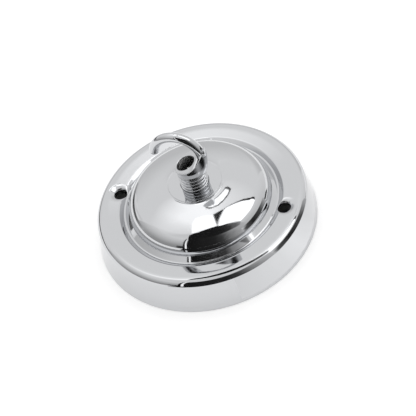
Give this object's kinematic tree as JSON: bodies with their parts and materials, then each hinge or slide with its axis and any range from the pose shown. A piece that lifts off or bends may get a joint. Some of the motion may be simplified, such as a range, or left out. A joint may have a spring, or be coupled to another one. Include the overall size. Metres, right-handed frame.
{
  "type": "electrical ceiling rose",
  "caption": "Round domed metal ceiling rose with a stepped rim, dished fixing holes and a hollow threaded hook that lets the cable of a pendant lamp out through its mouth.",
  "frame": {"origin": "centre of the rim's foot, in the plane that lies against the ceiling", "axes": "+Z along the stem from the ceiling plane to the hook, X through the two fixing holes, and the hook's tip on the side of -X"},
  "size_m": [0.108, 0.108, 0.0631],
  "materials": {
    "cover_chrome": "mirror polished",
    "hook_chrome": "polished over a cast surface",
    "plated_steel": "zinc plated",
    "terminal_brass": "bright stamped brass"
  },
  "bodies": {
    "root": {"rose_cover": "cover_chrome", "hook_stem": "hook_chrome", "earth_tag": "terminal_brass", "lock_washer": "plated_steel", "lock_nut": "plated_steel", "earth_screw": "terminal_brass", "earth_cup_washer": "terminal_brass", "earth_nut": "terminal_brass"}
  },
  "joints": []
}
